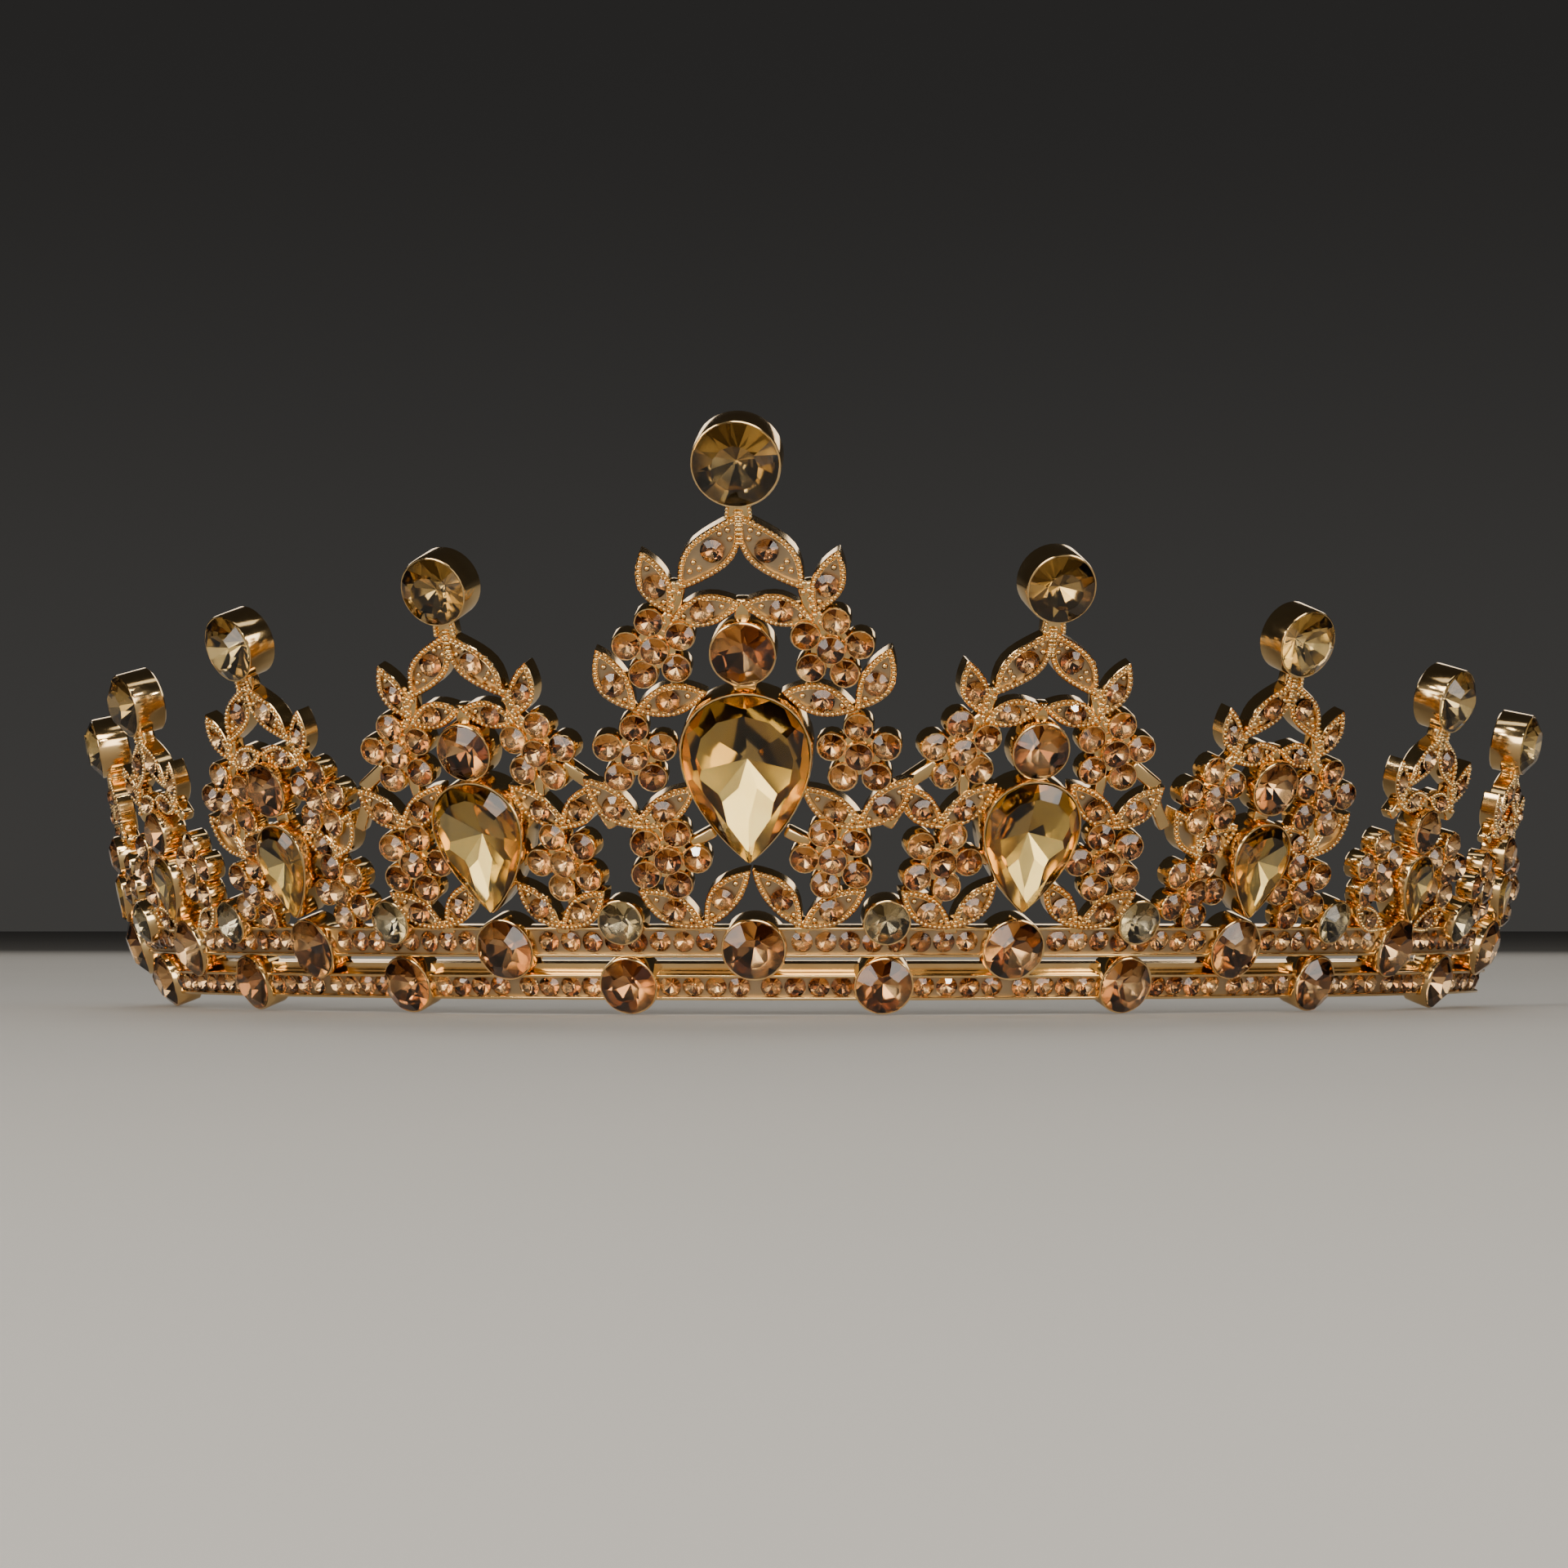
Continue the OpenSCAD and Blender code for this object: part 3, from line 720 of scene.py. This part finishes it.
# Flowers: centre x, y and the angle of the first petal
FLOWERS = [
    [(9.0, 37.0, 80), (11.5, 25.5, 90), (8.5, 14.1, 180)],
    [(8.3, 26.0, 80), (9.0, 13.8, 180)],
    [(7.8, 20.9, 80), (7.5, 10.5, 180)],
    [(7.0, 12.8, 80)],
    [(6.6, 10.6, 80)],
]
# Bars: from x, y, to x, y and width
CREST_BARS = [(6.4, 7.4, 7.2, 3.6, 1.7), (7.0, 3.9, 8.8, 1.9, 1.9)]
BARS = [
    [
        (6.2, 15.6, 3.6, 17.0, 1.2), (10.9, 30.6, 11.3, 28.2, 1.3), (10.6, 19.0, 9.4, 16.0, 1.3),
        (7.8, 11.0, 8.2, 8.6, 1.4), (5.0, 7.2, 5.0, 5.6, 1.6),
    ],
    [
        (6.4, 15.0, 3.4, 13.6, 1.2), (7.6, 23.4, 7.2, 20.6, 1.2), (10.6, 24.4, 13.8, 22.0, 1.5),
        (13.4, 20.9, 15.2, 17.4, 1.3), (8.6, 10.6, 9.0, 8.4, 1.4), (6.9, 7.2, 6.9, 5.6, 1.6),
    ],
    [(7.6, 18.6, 8.0, 15.0, 1.3)],
    [(4.0, 7.2, 4.0, 5.6, 1.6)],
    [(4.6, 10.6, 1.4, 9.6, 1.3), (6.6, 8.6, 6.6, 5.6, 1.8)],
]
CAST_BACK = -1.9
LEAF_STONE_R = 1.12
LEAF_STONE_SHARE = 0.66
LEAF_STONE_SPOT = 0.46
LEAF_STONE_RIM = 0.02
PETAL_RING = 2.95
FLOWER_STONE_R = 1.28
FLOWER_SEAT_R = 1.34
FLOWER_SEAT_DEPTH = 1.05
FLOWER_HOLE_R = 1.45
FLOWER_CUP_R = 1.6
PETAL_RIM = 0.12
HEART_RIM = 0.65
ROUND_RIM = 0.9
ROUND_BACK = -2.0
TOP_RIM = 0.6
TOP_BACK = -3.0
PEAR_RIM = 1.3
PEAR_BACK = -2.7
PEAR_WALL = 0.34

# Beads along the leaves' borders, and larger grains on their floors, as shares along a leaf and of its
# half width. More grains lie on a crest's joints, and rungs run up its middle below the collar.
BEAD_PITCH = 0.52
BEAD_INSET = 0.31
BEAD_HEIGHT = -0.11
GRAIN_HEIGHT = -0.3
LEAF_GRAINS = [(0.2, 0), (0.73, 0)]
OGEE_GRAINS = [(0.2, 0.1), (0.26, -0.22), (0.28, 0.3), (0.68, 0.2), (0.7, -0.2), (0.78, 0.05)]
KNOT_GRAINS = [
    (6.4, 7.3), (6.9, 6.5), (6.3, 6.3), (7.0, 5.6), (7.1, 4.7), (7.4, 3.9), (8.0, 3.1), (6.7, 3.6),
]
RUNG_TOP = 14.9
RUNG_PITCH = 0.47
RUNGS = 8


def bead_mesh(across, along, high):
    """A bead or grain of three radii, coarse enough to be laid by the thousand."""
    bm = bmesh.new()
    bmesh.ops.create_uvsphere(bm, u_segments=8, v_segments=5, radius=1)
    bmesh.ops.scale(bm, vec=(along, across, high), verts=bm.verts)
    mesh = bpy.data.meshes.new("bead")
    bm.to_mesh(mesh)
    bm.free()
    return mesh


def flower_cup(foot, lip, rim):
    """A small turned cup: its foot's profile, then a bright lip and a flat seat for the stone."""
    seat = rim - FLOWER_SEAT_DEPTH
    profile = [(0, CAST_BACK), *foot, (lip, rim), (1.4, rim)]
    return turned(profile + [(FLOWER_SEAT_R, rim - 0.1), (FLOWER_SEAT_R, seat), (0, seat)], 16)


border_bead = bead_mesh(0.27, 0.225, 0.3)
granule = bead_mesh(0.33, 0.33, 0.3)
rung = bead_mesh(0.18, 0.55, 0.24)
petal_cup = flower_cup(
    [(1.5, CAST_BACK), (FLOWER_CUP_R, CAST_BACK + 0.12), (FLOWER_CUP_R, PETAL_RIM - 0.14)], 1.52, PETAL_RIM,
)
heart_cup = flower_cup([(1.55, CAST_BACK), (1.55, HEART_RIM - 0.14)], 1.49, HEART_RIM)


class Leaf:
    """A pointed leaf on a centre line that may bow or sway, in its motif's plane."""

    def __init__(self, row, side, scale=1.0, rise=0.0):
        start_x, start_y, tip_x, tip_y, half, bow, sway = row
        self.start = Vector((side * start_x * scale, start_y * scale + rise))
        self.run = Vector((side * tip_x * scale, tip_y * scale + rise)) - self.start
        self.across = side * Vector((-self.run.y, self.run.x)).normalized()
        self.half = half * scale
        self.bow = bow * scale
        self.sway = sway * scale

    def centre(self, t):
        swing = self.bow * math.sin(math.pi * t) + self.sway * math.sin(math.tau * t)
        return self.start + self.run * t + self.across * swing

    def ring(self, inset, steps=14):
        """Points round the leaf, drawn in from its edge by inset, and more at the tips."""
        short = 1.5 * inset / self.run.length
        points = []
        for i in range(2 * steps):
            u = (1 - math.cos(math.pi * i / steps)) / 2
            wide = (self.half - inset) * max(math.sin(math.pi * u), 0) ** 0.85
            side = 1 if i < steps else -1
            points.append(self.centre(short + (1 - 2 * short) * u) + side * self.across * wide)
        return points


# A leaf's rings from its back, over the border, to its floor: how far in from the edge, and how high
LEAF_RINGS = [
    (0.12, CAST_BACK), (0.0, CAST_BACK + 0.14), (0.0, -0.16), (0.06, -0.08), (0.12, -0.2), (0.50, -0.2),
    (0.55, -0.05), (0.60, -0.01), (0.66, -0.01), (0.72, -0.42),
]


def shell(bm, rings):
    """Joins level rings, given as flat points and a height, into a closed shell. Returns its lid.

    It goes quad by quad, because bridge_loops turns some rings of a bowed leaf the wrong way round.
    """
    loops = [[bm.verts.new((p.x, p.y, height)) for p in points] for points, height in rings]
    for below, above in zip(loops, loops[1:]):
        for i in range(len(below)):
            bm.faces.new((below[i - 1], below[i], above[i], above[i - 1]))
    bm.faces.new(loops[0])
    return bm.faces.new(loops[-1])


def cast_leaf(bm, leaf):
    """One leaf, closed all round, with its satin floor, whose darker colour is painted shade."""
    floor = shell(bm, [(leaf.ring(inset), height) for inset, height in LEAF_RINGS])
    floor.material_index = SATIN_AND_SHADE


BAR_THICKNESS = 1.6
BAR_MIDDLE = -1.05
BAR_ROUNDING = 0.36


def cast_bar(bm, row, side, scale=1.0, rise=0.0):
    """One rounded bar between two points."""
    x1, y1, x2, y2, width = row
    a = Vector((side * x1 * scale, y1 * scale + rise))
    b = Vector((side * x2 * scale, y2 * scale + rise))
    middle = (a + b) / 2
    angle = math.atan2(b.y - a.y, b.x - a.x)
    size = Matrix.Diagonal(((b - a).length, width * scale, BAR_THICKNESS, 1))
    place = at(middle.x, middle.y, BAR_MIDDLE) @ Matrix.Rotation(angle, 4, "Z")
    made = bmesh.ops.create_cube(bm, size=1, matrix=place @ size)["verts"]
    edges = list(dict.fromkeys(e for v in made for e in v.link_edges))
    bmesh.ops.bevel(
        bm, geom=edges, offset=BAR_ROUNDING, segments=3, affect="EDGES", profile=0.5, material=-1,
    )


def pear_cup(bm, width, length, y):
    """A pear-shaped cup with a closed back and a rounded lip. Its floor lies below the stone's point."""
    rings = []
    for wall, height in (
        (PEAR_WALL - 0.15, PEAR_BACK), (PEAR_WALL, PEAR_BACK + 0.2), (PEAR_WALL, PEAR_RIM - 0.18),
        (PEAR_WALL - 0.08, PEAR_RIM - 0.03), (0.14, PEAR_RIM), (0.08, PEAR_RIM - 0.1),
        (0.08, PEAR_RIM - PEAR_DEPTH * width - 0.15),
    ):
        points = pear_points(width + 2 * wall, length + 2 * wall, 48)
        rings.append(([p + Vector((0, y, 0)) for p in points], height))
    shell(bm, rings)


def both_sides(rows, *more):
    """Each row for the left and for the right, with what its maker takes besides."""
    return [(row, side, *more) for row in rows for side in (-1, 1)]


def flower_places(flowers):
    """The middles of a motif's hearts and petals, on both sides."""
    hearts = []
    petals = []
    for x, y, first in flowers:
        for side in (-1, 1):
            hearts.append(Vector((side * x, y)))
            for i in range(5):
                angle = math.radians(first + 72 * i)
                out = x + PETAL_RING * math.cos(angle)
                petals.append(Vector((side * out, y + PETAL_RING * math.sin(angle))))
    return hearts, petals


def inside(point, circles, margin=0.0):
    """Whether a point lies in one of the circles, which are given by x, y and radius."""
    return any((point - Vector((x, y))).length < r + margin for x, y, r in circles)


def bead_leaf(bm, leaf, taken):
    """Lays beads along a leaf's border, one pitch apart, and grains on its floor, clear of the cups."""
    track = leaf.ring(BEAD_INSET, 60)
    lengths = [0.0]
    for a, b in zip(track, track[1:] + track[:1]):
        lengths.append(lengths[-1] + (b - a).length)
    count = round(lengths[-1] / BEAD_PITCH)
    step = 0
    for i in range(count):
        want = lengths[-1] * i / count
        while lengths[step + 1] < want:
            step += 1
        a = track[step]
        b = track[(step + 1) % len(track)]
        p = a.lerp(b, (want - lengths[step]) / max(lengths[step + 1] - lengths[step], 1e-6))
        if inside(p, taken):
            continue
        along = Matrix.Rotation(math.atan2(b.y - a.y, b.x - a.x), 4, "Z")
        stamp(bm, border_bead, at(p.x, p.y, BEAD_HEIGHT) @ along)
    for t, off in LEAF_GRAINS if leaf.sway == 0 else OGEE_GRAINS:
        p = leaf.centre(t) + leaf.across * off * leaf.half
        if not inside(p, taken, 0.2):
            stamp(bm, granule, at(p.x, p.y, GRAIN_HEIGHT))


def bead_crest(bm, crest, round_y, collar_y):
    """Grains on a crest's joints, rungs up its middle, and four beads down each side of its collar."""
    for x, y in KNOT_GRAINS:
        for side in (-1, 1):
            stamp(bm, granule, at(side * x * crest, round_y + y * crest, -0.12))
    for i in range(RUNGS):
        stamp(bm, rung, at(0, round_y + (RUNG_TOP - RUNG_PITCH * i) * crest, -0.05))
    for side in (-1, 1):
        for i in range(4):
            x = side * (1.05 + 0.06 * i) * crest
            stamp(bm, border_bead, at(x, collar_y - 0.15 - 0.42 * i, -0.1))


for k in SIDES:
    lean, round_y, round_r, crest, top_r, pear_w, pear_l, pear_y = MOTIFS[abs(k)]
    side_name = SIDE_NAMES[k]
    stand = on_band(k * PITCH, lean)
    top_y = round_y + CREST_TOP * crest
    rounds = [
        ("round", round_y, round_r, ROUND_RIM, ROUND_BACK, TOPAZ, "topaz_glass", "fine"),
        ("top", top_y, top_r, TOP_RIM, TOP_BACK, AMBER, "amber_glass", "many"),
    ]
    leaf_rows = both_sides(CREST_LEAVES, crest, round_y) + both_sides(LEAVES[abs(k)])
    leaves = [Leaf(*part) for part in leaf_rows]
    hearts, petals = flower_places(FLOWERS[abs(k)])
    flowers = [(petals, PETAL_RIM, petal_cup), (hearts, HEART_RIM, heart_cup)]
    taken = [(p.x, p.y, FLOWER_CUP_R) for p in hearts + petals]
    taken += [(0, y, r + CUP_WALL) for label, y, r, *rest in rounds]
    seeds = []
    for leaf in leaves:
        r = min(LEAF_STONE_R, LEAF_STONE_SHARE * leaf.half)
        spot = leaf.centre(LEAF_STONE_SPOT)
        if not inside(spot, taken + seeds, r - 0.1):
            seeds.append((spot.x, spot.y, r))

    casting = bmesh.new()
    for leaf in leaves:
        cast_leaf(casting, leaf)
    for part in both_sides(CREST_BARS, crest, round_y) + both_sides(BARS[abs(k)]):
        cast_bar(casting, *part)
    collar = (0, top_y - top_r + 0.2, 0, round_y + 14.0 * crest, 2.7 * crest)
    hanger = (0, round_y + 5.6 * crest, 0, round_y + round_r, 1.6)
    neck = (0, round_y - round_r, 0, pear_y + pear_l / 2 - 0.2, 2.5 * crest)
    for part in (collar, hanger, neck):
        cast_bar(casting, part, 1)
    for heart in hearts:
        bmesh.ops.create_cone(
            casting, cap_ends=True, segments=10, radius1=2.4, radius2=2.2, depth=1.7,
            matrix=at(heart.x, heart.y, -1.0),
        )
    bmesh.ops.recalc_face_normals(casting, faces=casting.faces)
    seats = [(at(x, y), r + SMALL_GAP, LEAF_STONE_RIM - seat_depth(r), ABOVE) for x, y, r in seeds]
    for places, rim, template in flowers:
        bottom = rim - FLOWER_SEAT_DEPTH - 0.1
        seats += [(at(p.x, p.y), FLOWER_HOLE_R, bottom, ABOVE) for p in places]
    drill(casting, seats, 20)
    seats = []
    for label, y, r, rim, *rest in rounds:
        seats += cup_seats([at(0, y)], r, rim)
    drill(casting, seats, HOLE_STEPS)
    for label, y, r, rim, back, *rest in rounds:
        stamp(casting, cup(r, back, rim), at(0, y))
    for places, rim, template in flowers:
        for p in places:
            stamp(casting, template, at(p.x, p.y))
    pear_cup(casting, pear_w, pear_l, pear_y)
    bmesh.ops.recalc_face_normals(casting, faces=casting.faces)
    dull_backs(casting)

    beading = bmesh.new()
    for leaf in leaves:
        bead_leaf(beading, leaf, taken)
    bead_crest(beading, crest, round_y, top_y - top_r)
    for made in (casting, beading):
        bmesh.ops.transform(made, matrix=stand, verts=made.verts)
    make_piece(casting, "casting_" + side_name, METAL)
    make_piece(beading, "beading_" + side_name, METAL, 180.0)

    stones = bmesh.new()
    for places, rim, template in flowers:
        for p in places:
            set_stone(stones, "small", stand @ at(p.x, p.y), FLOWER_STONE_R, rim)
    make_piece(
        stones, "flower_cut_stones_" + side_name, TOPAZ, None,
        ["flower_stones_" + side_name],
    )
    stones = bmesh.new()
    for x, y, r in seeds:
        set_stone(stones, "small", stand @ at(x, y), r, LEAF_STONE_RIM, 5.0)
    make_piece(stones, "leaf_cut_stones_" + side_name, TOPAZ, None)
    for label, y, r, rim, back, gems, slot, cut in rounds:
        stones = bmesh.new()
        set_stone(stones, cut, stand @ at(0, y), r, rim, 1.5)
        make_piece(
            stones, label + "_cut_stone_" + side_name, gems, None,
            [label + "_stone_" + side_name],
        )
    pear = bmesh.new()
    point = at(0, pear_y + PEAR_POINT * pear_l, PEAR_RIM - 0.04)
    stamp(pear, pear_cut(pear_w, pear_l), stand @ point)
    make_piece(
        pear, "pear_cut_stone_" + side_name, CITRINE, None,
        ["pear_stone_" + side_name],
    )

# The end eyes: two stamped brass eyes that take a ribbon or a hair pin. Their tabs are riveted behind
# the rear strip's ends, and they have the bands' bright plating.
for name in ("end_eye_left", "end_eye_right"):
    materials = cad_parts[name].data.materials
    materials.clear()
    materials.append(bright_plate.holder)

# The stage: a plain pale floor, a dim studio sky and six soft lamps, all aimed at the tiara. Six more,
# which are very small, give the stones and beads their sparkle.
FLOOR_RADIUS = 4.0
floor_shape = bmesh.new()
bmesh.ops.create_circle(floor_shape, cap_ends=True, segments=96, radius=FLOOR_RADIUS)
paper = Finish(bpy.data.materials.new("pale_floor"))
paper.shine(
    base_color=paper.blend(paper.blotches(6.0), (0.50, 0.485, 0.46), (0.54, 0.525, 0.50)),
    roughness=0.6,
)
floor = as_object(floor_shape, "floor", [paper])
floor_shape.free()

sky = bpy.data.worlds.new("studio")
bpy.context.scene.world = sky
studio = Finish(sky)
direction = studio.node("TexCoord", out="Generated")
height = studio.node("SeparateXYZ", None, {0: direction}, out="Z")
rise = studio.node("MapRange", {"interpolation_type": "SMOOTHSTEP"}, {"Value": height, "From Max": 0.16})
air = studio.blend(rise, (0.050, 0.048, 0.045), (0.024, 0.023, 0.022))
glow = studio.node("Background", None, {"Color": air, "Strength": 1.0})
studio.node("OutputWorld", None, {"Surface": glow})
LAMP_AIM = Vector((0, -0.03, 0.03))


def lamp(name, place, size, power, colour):
    """A soft box: its place and size in metres, and its power in watts."""
    light = bpy.data.lights.new(name, "AREA")
    light.shape = "RECTANGLE"
    light.size, light.size_y = size
    light.energy = power
    light.color = colour
    item = bpy.data.objects.new(name, light)
    item.location = place
    item.rotation_euler = (LAMP_AIM - Vector(place)).to_track_quat("-Z", "Y").to_euler()
    bpy.context.collection.objects.link(item)


WARM = (1.0, 0.95, 0.87)
lamp("key", (-0.35, -0.90, 0.75), (0.36, 0.26), 3.4, WARM)
lamp("fill", (0.95, -0.60, 0.30), (0.35, 0.60), 4.0, WARM)
lamp("front", (0.12, -0.92, 0.19), (0.50, 0.36), 3.4, WARM)
lamp("left", (-0.60, -0.76, 0.20), (0.46, 0.36), 3.1, WARM)
lamp("top", (0.10, -0.30, 1.00), (0.80, 0.20), 0.7, WARM)
lamp("back", (0.0, 1.0, 0.46), (1.60, 0.26), 3.3, WARM)
GLINTS = [
    (0.30, -0.80, 0.55), (-0.20, -0.95, 0.45), (0.60, -0.75, 0.42), (-0.80, -0.50, 0.50),
    (0.05, -0.75, 0.90), (-0.55, -0.70, 0.62),
]
for number, place in enumerate(GLINTS, 1):
    lamp("glint_%d" % number, place, (0.04, 0.04), 0.42, WARM)

# The camera stands at the photograph's side angle, just over the floor, and takes in both band ends
CAMERA_PLACE = Vector((0.0542, -0.6158, 0.010))
CAMERA_AIM = Vector((0.0030, -0.0260, 0.0240))
camera = bpy.data.cameras.new("camera")
camera.lens = 131.0
camera.sensor_width = 36.0
camera.clip_start = 0.01
eye = bpy.data.objects.new("camera", camera)
eye.location = CAMERA_PLACE
eye.rotation_euler = (CAMERA_AIM - CAMERA_PLACE).to_track_quat("-Z", "Y").to_euler()
bpy.context.collection.objects.link(eye)
bpy.context.scene.camera = eye
